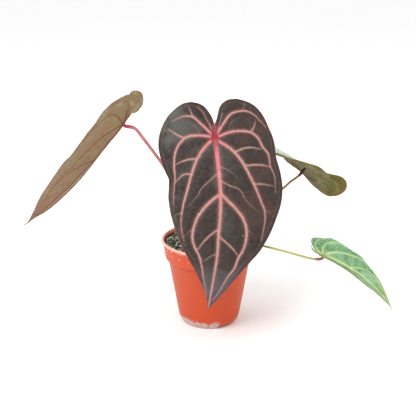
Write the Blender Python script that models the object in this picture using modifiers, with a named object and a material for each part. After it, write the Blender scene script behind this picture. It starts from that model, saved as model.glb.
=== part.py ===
"""Potted velvet-leaf anthurium: four heart-shaped leaves on thin stalks in a round nursery pot.

Metres, +Z up, origin under the middle of the pot, +X to the right and -Y towards the front leaf's face.
"""

import math

import bmesh
import bpy
from mathutils import Vector

MM = 0.001
SEAT_GAP = 0.3 * MM  # between pieces that touch
NOTHING = 1e-5  # merging distance

# Nursery pot
POT_HEIGHT = 110 * MM
RIM_RADIUS = 60 * MM
FOOT_RADIUS = 33.5 * MM
WALL = 1.4 * MM
LIP_HEIGHT = 3 * MM  # rolled rim at the top
LIP_PROUD = 1.7 * MM
COLLAR_HEIGHT = 23 * MM  # wide band from the rim down to the step
COLLAR_TAPER = 3.0 * MM
STEP_HEIGHT = 5 * MM  # sloping shoulder under the collar
STEP_DEPTH = 4.2 * MM
HEEL_HEIGHT = 14 * MM  # where the wall starts to round in to the foot
HEEL_DEPTH = 6.2 * MM
FOOT_RISE = 3.2 * MM  # the floor stands this high over the ground
FOOT_RING = 3.0 * MM
FLOOR = 1.4 * MM
BOSS_RADIUS = 10 * MM  # flat pad in the middle of the floor
DRAIN_RADIUS = 3.5 * MM
DRAIN_COUNT = 6
NOTCH_WIDTH = 17 * MM
NOTCH_HEIGHT = 2.8 * MM
NOTCH_ANGLES = (32, 152, 272)  # degrees round from the front
POT_SIDES = 48

# Potting mix, crown and roots
MIX_DROP = 6 * MM  # mix surface under the rim
MIX_EDGE_DROP = 1.5 * MM  # the mix sinks a little towards the wall
CROWN_RADIUS = 10.4 * MM
CROWN_HEIGHT = 8 * MM  # over the mix
CROWN_DEPTH = 39 * MM  # into the mix
ROOT_RADIUS = 1.7 * MM
ROOT_ANGLES = (20, 115, 205, 290)
ROOT_SWEEP = 40  # degrees that a root wanders round the pot
ROOT_START = 4 * MM  # from the crown's axis
ROOT_TO_WALL = 7 * MM
ROOT_TO_FLOOR = 10 * MM

# Papery sheaths round the crown: direction in degrees, width in degrees, height
SHEATHS = ((265, 80, 20 * MM), (137, 50, 26 * MM), (57, 36, 16 * MM))
SHEATH_WALL = 0.5 * MM
SHEATH_GAP = 0.5 * MM

# Leaves and stalks
BLADE = 0.9 * MM
HINGE_LENGTH = 15 * MM  # the thicker, bending top of a leaf stalk
HINGE_SEAT = 4 * MM  # last stretch of a stalk, square to the blade
STALK_DROP = 10 * MM  # stalk and joint heights are counted from this far under the rim
STALK_OVER_RIM = 2.2 * MM  # clear space between the low stalk and the rim
NEAR_RIM = 0.8  # share of the rim's radius from which a stalk keeps that clear space
FRONT_BLADE_BACK = 48 * MM  # from the rim's front back to the front leaf's stalk joint
TUBE_STEP = 6 * MM
FINE_STEPS = 400  # for measuring along a curve
BLADE_ROWS = 26
BLADE_COLUMNS = 6

GROUND = 0.0
MIX_TOP = POT_HEIGHT - MIX_DROP
STALK_LEVEL = POT_HEIGHT - STALK_DROP
FLOOR_TOP = FOOT_RISE + FLOOR

# One half of a leaf as seen from its upper side, as shares of half its width and of its length, from the tip
# of the lobe: the margin down to the leaf's tip, and the lobe's inner edge to the bottom of the notch.
MARGIN = (
    (0.34, 0.221), (0.46, 0.212), (0.60, 0.188), (0.74, 0.142), (0.86, 0.083), (0.94, 0.02),
    (0.97, -0.05), (0.975, -0.13), (0.97, -0.21), (0.955, -0.29), (0.93, -0.37), (0.88, -0.45),
    (0.80, -0.53), (0.70, -0.61), (0.58, -0.69), (0.44, -0.77), (0.30, -0.85), (0.15, -0.925),
    (0.05, -0.98), (0.018, -1.02), (0.0, -1.06),
)
LOBE_EDGE = (
    (0.34, 0.221), (0.23, 0.214), (0.15, 0.195), (0.09, 0.165), (0.05, 0.125), (0.025, 0.10), (0.0, 0.08),
)
LOBE_SHARE = 0.30  # share of a blade's rows that belong to the notch

# The front leaf's own outline in millimetres, x to the right, y towards the lobes, from the stalk joint
FRONT_RIGHT = (
    (27, 47.5), (38, 45), (50, 38), (60, 26.5), (67, 12), (72, -4), (74, -19), (77, -32), (81, -48),
    (82, -63), (79, -82), (72, -101), (63, -119), (52, -136), (39, -150), (26, -164), (14, -178),
    (4, -189), (-5, -198), (-11, -205),
)
FRONT_RIGHT_LOBE = ((27, 47.5), (18, 46.5), (11.5, 43), (7, 38), (4.6, 31), (2.7, 23), (0.2, 16.8))
FRONT_LEFT = (
    (-27, 44.2), (-37, 42.4), (-47, 36.5), (-57, 26.5), (-64.5, 14), (-68, 1), (-67.5, -14), (-63, -31),
    (-57.5, -46), (-56, -58), (-56.5, -72), (-54, -88), (-49.5, -106), (-43.5, -123), (-34.5, -141),
    (-25, -158), (-18, -174), (-13, -188), (-11.3, -198), (-11, -205),
)
FRONT_LEFT_LOBE = ((-27, 44.2), (-18, 42.5), (-11, 38), (-6.3, 32), (-3, 26.5), (-1, 21), (0.2, 16.8))
FRONT_MIDRIB = (
    (0.2, 16.8), (0, 0), (3.5, -27), (5.9, -56), (5.9, -84), (4, -114), (0, -154), (-6, -183), (-11, -205),
)

# joint: where the stalk meets the blade, its last number counted from the stalk level
# facing: compass direction from the front and height of the upper side's normal, in degrees
# roll turns the blade about that normal; droop, lobes, fold, flare, curl and twist bend it, in degrees,
# and where there are two values they are for the left and the right half
LEAVES = {
    "front": dict(
        joint=(6.3, -12, 141.6), facing=(2, 24), roll=0, length=205, half_width=75, droop=5, lobes=(8, 8),
        fold=(7, 7), flare=(0, 0), curl=(-34, -24), twist=0, closing=0, stalk=2.0, hinge=2.4,
        stalk_route=((0, 6, 3), (1, 12, 22), (3, 19, 55), (5, 22, 95), (6, 18, 128), (6.3, 8, 152)),
    ),
    "left": dict(
        joint=(-104.6, 9, 153.8), facing=(247.2, 34.4), roll=13.3, length=177.9, half_width=57.2,
        droop=-16, lobes=(-82, 19), fold=(22, 27.1), flare=(-55, 3.4), curl=(15, -29.1), twist=17.7,
        closing=-0.71, stalk=1.9, hinge=2.2,
        stalk_route=((-6, 0, 3), (-13, 0.5, 26), (-30, 1.5, 62), (-54.2, 3, 100.1), (-72.5, 4.5, 126.3),
                     (-81.1, 5.5, 138), (-90.2, 6.5, 149)),
    ),
    "right_upper": dict(
        joint=(123.2, 45, 89.6), facing=(106.8, 55.8), roll=121.1, length=215.1, half_width=69,
        droop=24.4, lobes=(-49.5, -9.6), fold=(1, 1.6), flare=(0, 0.5), curl=(-36.4, -13.3), twist=-45,
        closing=0.37, stalk=1.6, hinge=2.0,
        stalk_route=((5.4, 2.5, 5), (20, 7, 13.4), (52, 18, 36), (92, 31.5, 63.5), (103, 35.5, 72.3),
                     (114.5, 40, 79.5)),
    ),
    "right_lower": dict(
        joint=(131, -90, 22), facing=(67.2, 72), roll=5.1, length=101, half_width=35.3,
        droop=32.9, lobes=(-35.9, -41.8), fold=(19.1, 17), flare=(-0.8, -9.2), curl=(11.4, -3.3),
        twist=0.3, closing=-0.52, stalk=1.3, hinge=1.7,
        stalk_route=((4.9, -3.4, 5), (15, -10, 13), (64.3, -41, 14.8), (94.1, -61, 14.2),
                     (119.3, -79, 13.4)),
    ),
}
LOBE_LENGTH = 0.25  # share of a leaf's length over which the lobes bend
FLARE_LENGTH = 0.2  # share of a leaf's length over which the lobes' flare builds up

COLOURS = {
    "pot": (0.72, 0.13, 0.045), "mix": (0.12, 0.10, 0.07), "crown": (0.20, 0.15, 0.06),
    "root": (0.55, 0.45, 0.28), "sheath": (0.32, 0.20, 0.10), "front": (0.055, 0.045, 0.04),
    "left": (0.30, 0.25, 0.13), "right_upper": (0.22, 0.19, 0.07), "right_lower": (0.16, 0.33, 0.16),
    "stalk": (0.60, 0.40, 0.22), "hinge": (0.38, 0.07, 0.06),
}
ROUGHNESS = {"pot": 0.45, "mix": 0.95, "crown": 0.7, "root": 0.6, "sheath": 0.8}
LEAF_ROUGHNESS = 0.55


# ---------------------------------------------------------------- scene, materials and collections
def clear_scene():
    for old in list(bpy.data.objects):
        bpy.data.objects.remove(old, do_unlink=True)


def new_collection(name):
    collection = bpy.data.collections.new(name)
    bpy.context.scene.collection.children.link(collection)
    return collection


def material(name, colour):
    made = bpy.data.materials.new(name)
    made.use_nodes = True
    shader = made.node_tree.nodes["Principled BSDF"]
    shader.inputs["Base Color"].default_value = (*COLOURS[colour], 1)
    shader.inputs["Roughness"].default_value = ROUGHNESS.get(colour, LEAF_ROUGHNESS)
    shader.inputs["Metallic"].default_value = 0
    return made


def add_object(name, data, collection, colour=None):
    made = bpy.data.objects.new(name, data)
    collection.objects.link(made)
    if colour:
        data.materials.append(material(name, colour))
    return made


def add_cutter(name, data):
    cutter = add_object(name, data, CUTTERS)
    cutter.hide_render = True
    cutter.display_type = "WIRE"
    return cutter


def cut(target, cutter):
    boolean = target.modifiers.new("cut_" + cutter.name, "BOOLEAN")
    boolean.operation = "DIFFERENCE"
    boolean.solver = "EXACT"
    boolean.object = cutter


# ---------------------------------------------------------------- general shapes
def turned_mesh(name, profile, steps):
    """A profile of (radius, height) points, spun about Z. It runs down the outer side."""
    mesh = bpy.data.meshes.new(name)
    points = [(radius, 0, height) for radius, height in profile]
    mesh.from_pydata(points, [(i, i + 1) for i in range(len(points) - 1)], [])
    holder = bpy.data.objects.new(name, mesh)
    CUTTERS.objects.link(holder)
    spin = holder.modifiers.new("spin", "SCREW")
    spin.steps = steps
    spin.render_steps = steps
    spin.use_merge_vertices = True
    spin.merge_threshold = NOTHING
    spin.use_smooth_shade = True
    return settle(holder)


def settle(holder):
    """The evaluated mesh of an object or curve, in world space, with its loose caps welded."""
    bpy.context.view_layer.update()
    evaluated = holder.evaluated_get(bpy.context.evaluated_depsgraph_get())
    mesh = bpy.data.meshes.new_from_object(evaluated)
    mesh.transform(holder.matrix_world)
    shape = bmesh.new()
    shape.from_mesh(mesh)
    bmesh.ops.remove_doubles(shape, verts=shape.verts, dist=NOTHING)
    shape.to_mesh(mesh)
    shape.free()
    bpy.data.objects.remove(holder, do_unlink=True)
    return mesh


def shade_round(mesh, degrees=40):
    mesh.shade_smooth()
    mesh.set_sharp_from_angle(angle=math.radians(degrees))


def tube_curve(name, points, radius, swell=()):
    """A round tube along points; swell gives the radius factors from start to end."""
    curve = bpy.data.curves.new(name, "CURVE")
    curve.dimensions = "3D"
    curve.bevel_depth = radius
    curve.bevel_resolution = 2
    curve.use_fill_caps = True
    spline = curve.splines.new("POLY")
    spline.points.add(len(points) - 1)
    factors = swell or (1, 1)
    for i, (point, place) in enumerate(zip(spline.points, points)):
        point.co = (*place, 1)
        point.radius = along_list(factors, i / (len(points) - 1))
    return curve


def along_list(values, share):
    """A number read from an evenly spaced list."""
    at = share * (len(values) - 1)
    low = min(int(at), len(values) - 2)
    return values[low] + (values[low + 1] - values[low]) * (at - low)


def smooth_between(before, start, end, after, share):
    """One stretch of a smooth curve through points."""
    square = share * share
    cube = square * share
    return 0.5 * (
        2 * start
        + (end - before) * share
        + (2 * before - 5 * start + 4 * end - after) * square
        + (3 * start - before - 3 * end + after) * cube
    )


def curve_through(points, share):
    """The point at a share of the way along a smooth curve through evenly weighted points."""
    points = [Vector(point) for point in points]
    at = min(max(share, 0), 1) * (len(points) - 1)
    low = min(int(at), len(points) - 2)
    before = points[max(low - 1, 0)]
    after = points[min(low + 2, len(points) - 1)]
    return smooth_between(before, points[low], points[low + 1], after, at - low)


def even_points(route, step):
    """Points about a step apart along a smooth curve through the route."""
    fine = [curve_through(route, i / FINE_STEPS) for i in range(FINE_STEPS + 1)]
    run = [0.0]
    for before, after in zip(fine, fine[1:]):
        run.append(run[-1] + (after - before).length)
    count = max(3, round(run[-1] / step))
    points = []
    low = 0
    for i in range(count + 1):
        wanted = run[-1] * i / count
        while low < len(run) - 2 and run[low + 1] < wanted:
            low += 1
        share = (wanted - run[low]) / max(run[low + 1] - run[low], NOTHING * MM)
        points.append(fine[low].lerp(fine[low + 1], share))
    return points


def split_route(points, tail):
    """Cuts a list of points so that the second list is the last tail of its length."""
    left = tail
    for i in range(len(points) - 1, 0, -1):
        span = (points[i] - points[i - 1]).length
        if span >= left:
            corner = points[i].lerp(points[i - 1], left / span)
            gap = (points[i - 1] - points[i]).normalized() * SEAT_GAP
            return points[:i] + [corner + gap], [corner] + points[i:]
        left -= span
    raise ValueError("the route is shorter than its tail")


# ---------------------------------------------------------------- the pot
def pot_outer():
    """(radius, height) from the rim's outer top edge down to the foot."""
    collar_top = RIM_RADIUS - LIP_PROUD
    collar_foot = collar_top - COLLAR_TAPER
    body_top = collar_foot - STEP_DEPTH
    step_top = POT_HEIGHT - COLLAR_HEIGHT
    step_foot = step_top - STEP_HEIGHT
    heel = FOOT_RADIUS + HEEL_DEPTH
    return [
        (RIM_RADIUS - 0.6 * MM, POT_HEIGHT),
        (RIM_RADIUS, POT_HEIGHT - 0.6 * MM),
        (RIM_RADIUS, POT_HEIGHT - LIP_HEIGHT + 0.6 * MM),
        (collar_top, POT_HEIGHT - LIP_HEIGHT),
        (collar_foot, step_top),
        (body_top, step_foot),
        (heel, HEEL_HEIGHT),
        (heel - 0.16 * HEEL_DEPTH, 0.64 * HEEL_HEIGHT),
        (heel - 0.45 * HEEL_DEPTH, 0.32 * HEEL_HEIGHT),
        (heel - 0.85 * HEEL_DEPTH, 0.09 * HEEL_HEIGHT),
        (FOOT_RADIUS, GROUND),
    ]


def pot_inner():
    """(radius, height) from the floor's corner up to the inside of the rim."""
    outer = pot_outer()
    wall = [(radius - WALL, height) for radius, height in outer[3:8]]
    mouth = (RIM_RADIUS - LIP_PROUD - WALL + 0.3 * MM, POT_HEIGHT)
    corner = (FOOT_RADIUS, FLOOR_TOP)
    return [corner] + wall[::-1] + [mouth]


def inner_radius(height):
    points = pot_inner()
    for (low_r, low_z), (high_r, high_z) in zip(points, points[1:]):
        if low_z <= height <= high_z:
            return low_r + (high_r - low_r) * (height - low_z) / (high_z - low_z)
    return points[-1][0]


def pot_notches():
    depth = FOOT_RING + HEEL_DEPTH + 2 * MM
    for number, degrees in enumerate(NOTCH_ANGLES, 1):
        shape = bmesh.new()
        bmesh.ops.create_cube(shape, size=1)
        bmesh.ops.scale(shape, vec=(depth, NOTCH_WIDTH, 2 * NOTCH_HEIGHT), verts=shape.verts)
        mesh = bpy.data.meshes.new(f"notch_{number}")
        shape.to_mesh(mesh)
        shape.free()
        cutter = add_cutter(f"notch_{number}", mesh)
        angle = math.radians(degrees - 90)
        middle = FOOT_RADIUS - FOOT_RING - 1 * MM + depth / 2
        cutter.location = (middle * math.cos(angle), middle * math.sin(angle), GROUND)
        cutter.rotation_euler.z = angle
        yield cutter


def drain_holes():
    ring = (BOSS_RADIUS + FOOT_RADIUS - FOOT_RING) / 2
    for number in range(DRAIN_COUNT):
        shape = bmesh.new()
        bmesh.ops.create_cone(
            shape, cap_ends=True, segments=16, depth=4 * FLOOR_TOP,
            radius1=DRAIN_RADIUS, radius2=DRAIN_RADIUS,
        )
        mesh = bpy.data.meshes.new(f"drain_{number + 1}")
        shape.to_mesh(mesh)
        shape.free()
        cutter = add_cutter(f"drain_{number + 1}", mesh)
        angle = math.tau * number / DRAIN_COUNT
        cutter.location = (ring * math.cos(angle), ring * math.sin(angle), GROUND)
        yield cutter


def nursery_pot():
    ring_inside = FOOT_RADIUS - FOOT_RING
    underside = [
        (ring_inside, GROUND), (ring_inside, FOOT_RISE), (BOSS_RADIUS + 0.4 * MM, FOOT_RISE),
        (BOSS_RADIUS, GROUND), (0, GROUND),
    ]
    profile = [(0, FLOOR_TOP)] + pot_inner() + pot_outer() + underside
    mesh = turned_mesh("nursery_pot", profile, POT_SIDES)
    shade_round(mesh)
    pot = add_object("nursery_pot", mesh, PLANT, "pot")
    for cutter in [*pot_notches(), *drain_holes()]:
        cut(pot, cutter)


# ---------------------------------------------------------------- mix, crown and roots
def crown_profile(grow=0.0):
    low = MIX_TOP - CROWN_DEPTH
    top = MIX_TOP + CROWN_HEIGHT
    shares = (
        (0.3, 1.0), (0.65, 0.96), (0.88, 0.86), (0.97, 0.74), (1.0, 0.6), (0.98, 0.3), (0.85, 0.12),
        (0.5, 0.02),
    )
    side = [(CROWN_RADIUS * r + grow, low + (top - low) * z) for r, z in shares]
    return [(0, top + grow)] + side + [(0, low - grow)]


def root_route(number):
    start = math.radians(ROOT_ANGLES[number])
    crown_foot = MIX_TOP - CROWN_DEPTH
    floor = FLOOR_TOP + ROOT_TO_FLOOR
    middle = (crown_foot + floor) / 2
    stations = (
        (ROOT_START, crown_foot + 10 * MM, 0),
        (ROOT_START + 9 * MM, crown_foot + 3 * MM, 0.05),
        (0.7 * (inner_radius(middle) - ROOT_TO_WALL), middle + 6 * MM, 0.35),
        (inner_radius(middle) - ROOT_TO_WALL, middle - 6 * MM, 0.65),
        (inner_radius(floor) - ROOT_TO_WALL, floor, 1),
    )
    route = []
    for radius, height, share in stations:
        angle = start + math.radians(ROOT_SWEEP) * share
        route.append((radius * math.cos(angle), radius * math.sin(angle), height))
    return route


def root_tube(number, grow=0.0):
    points = even_points(root_route(number), TUBE_STEP)
    if grow:
        points[0] += (points[0] - points[1]).normalized() * grow
        points[-1] += (points[-1] - points[-2]).normalized() * grow
    name = f"root_{number + 1}" + ("_socket" if grow else "")
    return tube_curve(name, points, ROOT_RADIUS + grow, (1, 1, 0.9, 0.75) if not grow else (1, 1))


def curve_mesh(curve):
    holder = bpy.data.objects.new(curve.name, curve)
    CUTTERS.objects.link(holder)
    mesh = settle(holder)
    shade_round(mesh)
    return mesh


def potting_mix():
    edge = MIX_TOP - MIX_EDGE_DROP
    wall = [(radius - SEAT_GAP, height) for radius, height in pot_inner() if FLOOR_TOP < height < edge]
    foot = [(FOOT_RADIUS - SEAT_GAP, FLOOR_TOP + SEAT_GAP), (0, FLOOR_TOP + SEAT_GAP)]
    shoulder = inner_radius(edge) - SEAT_GAP
    slope = MIX_TOP - 0.4 * MIX_EDGE_DROP
    top = [(0, MIX_TOP), (0.45 * shoulder, MIX_TOP), (0.8 * shoulder, slope), (shoulder, edge)]
    mesh = turned_mesh("potting_mix", top + wall[::-1] + foot, POT_SIDES)
    shade_round(mesh)
    return add_object("potting_mix", mesh, PLANT, "mix")


def crown():
    mesh = turned_mesh("crown_stem", crown_profile(), 24)
    shade_round(mesh)
    return add_object("crown_stem", mesh, PLANT, "crown")


def rooted_crown():
    mix = potting_mix()
    stem = crown()
    cut(mix, add_cutter("crown_socket", turned_mesh("crown_socket", crown_profile(SEAT_GAP), 24)))
    for number in range(len(ROOT_ANGLES)):
        add_object(f"root_{number + 1}", curve_mesh(root_tube(number)), PLANT, "root")
        socket = add_cutter(f"root_{number + 1}_socket", curve_mesh(root_tube(number, SEAT_GAP)))
        cut(mix, socket)
        cut(stem, socket)
    return stem


def sheath(number):
    direction, width, height = SHEATHS[number - 1]
    shape = bmesh.new()
    bmesh.ops.create_grid(shape, x_segments=8, y_segments=6, size=1)
    inside = CROWN_RADIUS + SHEATH_GAP + SHEATH_WALL
    for vert in shape.verts:
        across, up = vert.co.x, (vert.co.y + 1) / 2
        narrowing = 1 - 0.8 * up * up
        angle = math.radians(direction + across * width / 2 * narrowing)
        radius = inside + 2 * MM * up + 1 * MM * up * up
        foot = MIX_TOP + SHEATH_GAP
        vert.co = (radius * math.cos(angle), radius * math.sin(angle), foot + height * up)
    bmesh.ops.remove_doubles(shape, verts=shape.verts, dist=NOTHING)
    bmesh.ops.recalc_face_normals(shape, faces=shape.faces)
    mesh = bpy.data.meshes.new(f"sheath_{number}")
    shape.to_mesh(mesh)
    shape.free()
    shade_round(mesh)
    made = add_object(f"sheath_{number}", mesh, PLANT, "sheath")
    thicken(made, SHEATH_WALL)


def thicken(made, thickness):
    wall = made.modifiers.new("thickness", "SOLIDIFY")
    wall.thickness = thickness
    wall.offset = 0
    wall.use_even_offset = True


# ---------------------------------------------------------------- leaves
def leaf_axes(leaf):
    """Across, towards the lobes, and the upper side's normal."""
    turn, rise = (math.radians(angle) for angle in leaf["facing"])
    normal = Vector((math.sin(turn) * math.cos(rise), -math.cos(turn) * math.cos(rise), math.sin(rise)))
    down = Vector((0, 0, -1))
    down = (down - down.dot(normal) * normal).normalized()
    roll = math.radians(leaf["roll"])
    tip = down * math.cos(roll) + normal.cross(down) * math.sin(roll)
    return (-tip).cross(normal), -tip, normal


def leaf_joint(leaf):
    x, y, height = leaf["joint"]
    if leaf is LEAVES["front"]:
        y = (FRONT_BLADE_BACK - RIM_RADIUS) / MM
    return Vector((x * MM, y * MM, height * MM + STALK_LEVEL))


def arc(degrees, length, run):
    """How far a bent strip reaches along and off its first direction, and its angle there."""
    turn = math.radians(degrees) / length
    if abs(turn) < 1e-7:
        return run, 0.0, 0.0
    return math.sin(turn * run) / turn, (1 - math.cos(turn * run)) / turn, turn * run


def leaf_point(leaf, across, up):
    """A point of the flat leaf, in millimetres from the stalk joint, on the bent leaf in space."""
    x_axis, y_axis, normal = leaf_axes(leaf)
    right = across >= 0
    length = leaf["length"]
    if up <= 0:
        along, off, angle = arc(leaf["droop"], length, -up)
        along = -along
    else:
        along, off, angle = arc(leaf["lobes"][right], LOBE_LENGTH * length, up)
        angle = -angle
    opening = 1 + leaf["closing"] * min(max(-up / length, -0.3), 1.1)
    flare = leaf["flare"][right] * min(max(up / (FLARE_LENGTH * length), 0), 1)
    fold = math.radians(leaf["fold"][right] * opening + flare)
    width = leaf["half_width"]
    out, lift, _ = arc(leaf["curl"][right], width, abs(across))
    flat = (out * math.cos(fold) - lift * math.sin(fold)) * (1 if right else -1)
    rise = out * math.sin(fold) + lift * math.cos(fold)
    twist = math.radians(leaf["twist"]) * min(max(-up / length, -0.4), 1.2)
    side = flat * math.cos(twist) - rise * math.sin(twist)
    lifted = flat * math.sin(twist) + rise * math.cos(twist)
    place = (
        side * x_axis
        + (along - lifted * math.sin(angle)) * y_axis
        + (lifted * math.cos(angle) - off) * normal
    )
    return leaf_joint(leaf) + place * MM


def leaf_edges(leaf, side):
    """The inner edge and the outer margin of one half, as points in millimetres."""
    if leaf is LEAVES["front"]:
        margin = FRONT_RIGHT if side > 0 else FRONT_LEFT
        lobe = FRONT_RIGHT_LOBE if side > 0 else FRONT_LEFT_LOBE
        return lobe, FRONT_MIDRIB, margin
    width = side * leaf["half_width"]
    length = leaf["length"]
    margin = [(x * width, y * length) for x, y in MARGIN]
    lobe = [(x * width, y * length) for x, y in LOBE_EDGE]
    return lobe, [lobe[-1], margin[-1]], margin


def blade_half(leaf, side):
    """One half of a blade: rows run from the lobe's tip to the leaf's tip, columns from the midrib out."""
    lobe, midrib, margin = leaf_edges(leaf, side)
    shape = bmesh.new()
    bmesh.ops.create_grid(shape, x_segments=BLADE_COLUMNS - 1, y_segments=BLADE_ROWS - 1, size=1)
    for vert in shape.verts:
        out = (vert.co.x + 1) / 2
        row = (1 - vert.co.y) / 2
        if row < LOBE_SHARE:
            inner = curve_through(lobe, row / LOBE_SHARE)
        else:
            inner = curve_through(midrib, (row - LOBE_SHARE) / (1 - LOBE_SHARE))
        flat = inner.lerp(curve_through(margin, row), out)
        vert.co = leaf_point(leaf, flat.x if abs(flat.x) > NOTHING else side * NOTHING, flat.y)
    mesh = bpy.data.meshes.new("half")
    shape.to_mesh(mesh)
    shape.free()
    return mesh


def blade(name, leaf):
    shape = bmesh.new()
    for side in (1, -1):
        half = blade_half(leaf, side)
        shape.from_mesh(half)
        bpy.data.meshes.remove(half)
    bmesh.ops.remove_doubles(shape, verts=shape.verts, dist=0.02 * MM)
    bmesh.ops.recalc_face_normals(shape, faces=shape.faces)
    mesh = bpy.data.meshes.new(f"leaf_{name}")
    shape.to_mesh(mesh)
    shape.free()
    mesh.shade_smooth()
    thicken(add_object(f"leaf_{name}", mesh, PLANT, name), BLADE)


def stalk_points(leaf):
    """The stalk's centre line, which ends square to the blade's underside, just short of it."""
    normal = leaf_axes(leaf)[2]
    end = leaf_joint(leaf) - normal * (BLADE / 2 + 2 * SEAT_GAP)
    shift = leaf_joint(leaf).y - leaf["joint"][1] * MM
    over_rim = POT_HEIGHT + STALK_OVER_RIM + leaf["stalk"] * MM
    route = []
    for number, (x, y, height) in enumerate(leaf["stalk_route"]):
        share = number / len(leaf["stalk_route"])
        place = Vector((x * MM, y * MM + shift * share * share, height * MM + STALK_LEVEL))
        if place.to_2d().length > NEAR_RIM * RIM_RADIUS:
            place.z = max(place.z, over_rim)
        route.append(place)
    return even_points(route + [end - normal * HINGE_SEAT, end], TUBE_STEP)


def stalk_and_hinge(name, leaf, stem):
    stalk, hinge = split_route(stalk_points(leaf), HINGE_LENGTH)
    radius = leaf["stalk"] * MM
    taper = (1.25, 1.05, 1, 1, 1)
    curve = tube_curve(f"stalk_{name}", stalk, radius, taper)
    add_object(f"stalk_{name}", curve_mesh(curve), PLANT, "stalk")
    swell = (0.85, 1.0, 1.05, 1.0, 0.85)
    curve = tube_curve(f"hinge_{name}", hinge, leaf["hinge"] * MM, swell)
    add_object(f"hinge_{name}", curve_mesh(curve), PLANT, "hinge")
    base = [stalk[0] + (stalk[0] - stalk[1]).normalized() * SEAT_GAP] + stalk[1:5]
    socket = tube_curve(f"socket_{name}", base, radius * taper[0] + SEAT_GAP)
    cut(stem, add_cutter(f"socket_{name}", curve_mesh(socket)))


# ---------------------------------------------------------------- build
clear_scene()
PLANT = new_collection("potted_anthurium")
CUTTERS = new_collection("cutters")
nursery_pot()
crown_stem = rooted_crown()
for sheath_number in range(1, len(SHEATHS) + 1):
    sheath(sheath_number)
for leaf_name, leaf_values in LEAVES.items():
    blade(leaf_name, leaf_values)
    stalk_and_hinge(leaf_name, leaf_values, crown_stem)
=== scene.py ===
"""Looks of the potted velvet-leaf anthurium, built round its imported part. Metres, +Z up."""

import math
import random
from types import SimpleNamespace

import bmesh
import bpy
from mathutils import Matrix, Vector, kdtree, noise


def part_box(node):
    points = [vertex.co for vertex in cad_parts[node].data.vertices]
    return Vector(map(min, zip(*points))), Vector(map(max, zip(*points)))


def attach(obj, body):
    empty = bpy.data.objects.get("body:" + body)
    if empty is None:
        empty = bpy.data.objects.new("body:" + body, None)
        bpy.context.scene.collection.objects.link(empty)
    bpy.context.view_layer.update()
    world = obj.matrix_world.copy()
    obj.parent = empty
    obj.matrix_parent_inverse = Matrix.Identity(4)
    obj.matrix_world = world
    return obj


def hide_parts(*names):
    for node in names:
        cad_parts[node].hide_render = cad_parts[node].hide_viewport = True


MM = 0.001
NOTHING = 1e-5

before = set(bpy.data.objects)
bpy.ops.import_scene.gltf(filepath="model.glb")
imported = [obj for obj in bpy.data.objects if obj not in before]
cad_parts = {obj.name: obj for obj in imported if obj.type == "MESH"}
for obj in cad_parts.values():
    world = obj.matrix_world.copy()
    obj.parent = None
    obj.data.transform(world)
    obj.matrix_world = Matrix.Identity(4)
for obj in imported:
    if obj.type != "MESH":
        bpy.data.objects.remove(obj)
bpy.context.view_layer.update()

# Levels read from the part
RIM_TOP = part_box("nursery_pot")[1].z
RIM_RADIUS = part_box("nursery_pot")[1].x
MIX_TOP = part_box("potting_mix")[1].z
STALK_LEVEL = RIM_TOP - 10 * MM  # stalk and joint heights are counted from here

# Nursery pot, as in the part
FOOT_RADIUS = 33.5 * MM
WALL = 1.4 * MM
LIP_HEIGHT = 3 * MM
LIP_PROUD = 1.7 * MM
COLLAR_HEIGHT = 23 * MM
COLLAR_TAPER = 3 * MM
STEP_HEIGHT = 5 * MM
STEP_DEPTH = 4.2 * MM
HEEL_HEIGHT = 14 * MM
HEEL_DEPTH = 6.2 * MM
FLOOR_RISE = 3.2 * MM
FLOOR = 1.4 * MM
FOOT_RING = 3 * MM
BOSS_RADIUS = 10 * MM
DRAINS = 6
DRAIN_RADIUS = 3.5 * MM
DRAIN_RING = 20.25 * MM
NOTCH_ANGLES = (32, 152, 272)
NOTCH_WIDTH = 17 * MM
NOTCH_HEIGHT = 2.8 * MM
POT_STEPS = 128
CRUST_SIDE = (-0.588, -0.809, 0)  # the side with the chalky crust and the splashes

CROWN_RADIUS = 10.4 * MM
SHEATHS = ((265, 80, 20 * MM), (137, 50, 26 * MM), (57, 36, 16 * MM))  # direction, width, height
CHIPS = 1500

HINGE_LENGTH = 15 * MM
STALK_OVER_RIM = 2.2 * MM
BLADE_LIFT = 0.35 * MM  # the upper skin over the part's middle surface
BLADE_THICK = 1.5 * MM  # at the midrib
BLADE_THIN = 0.33  # share of that between the veins

# One half of a leaf seen from its upper side, as shares of half its width and of its length
MARGIN = (
    (0.34, 0.221), (0.46, 0.212), (0.60, 0.188), (0.74, 0.142), (0.86, 0.083), (0.94, 0.02),
    (0.97, -0.05), (0.975, -0.13), (0.97, -0.21), (0.955, -0.29), (0.93, -0.37), (0.88, -0.45),
    (0.80, -0.53), (0.70, -0.61), (0.58, -0.69), (0.44, -0.77), (0.30, -0.85), (0.15, -0.925),
    (0.05, -0.98), (0.018, -1.02), (0, -1.06),
)
LOBE_EDGE = (
    (0.34, 0.221), (0.23, 0.214), (0.15, 0.195), (0.09, 0.165), (0.05, 0.125), (0.025, 0.10),
    (0, 0.08),
)
LOBE_SHARE = 0.30

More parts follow.
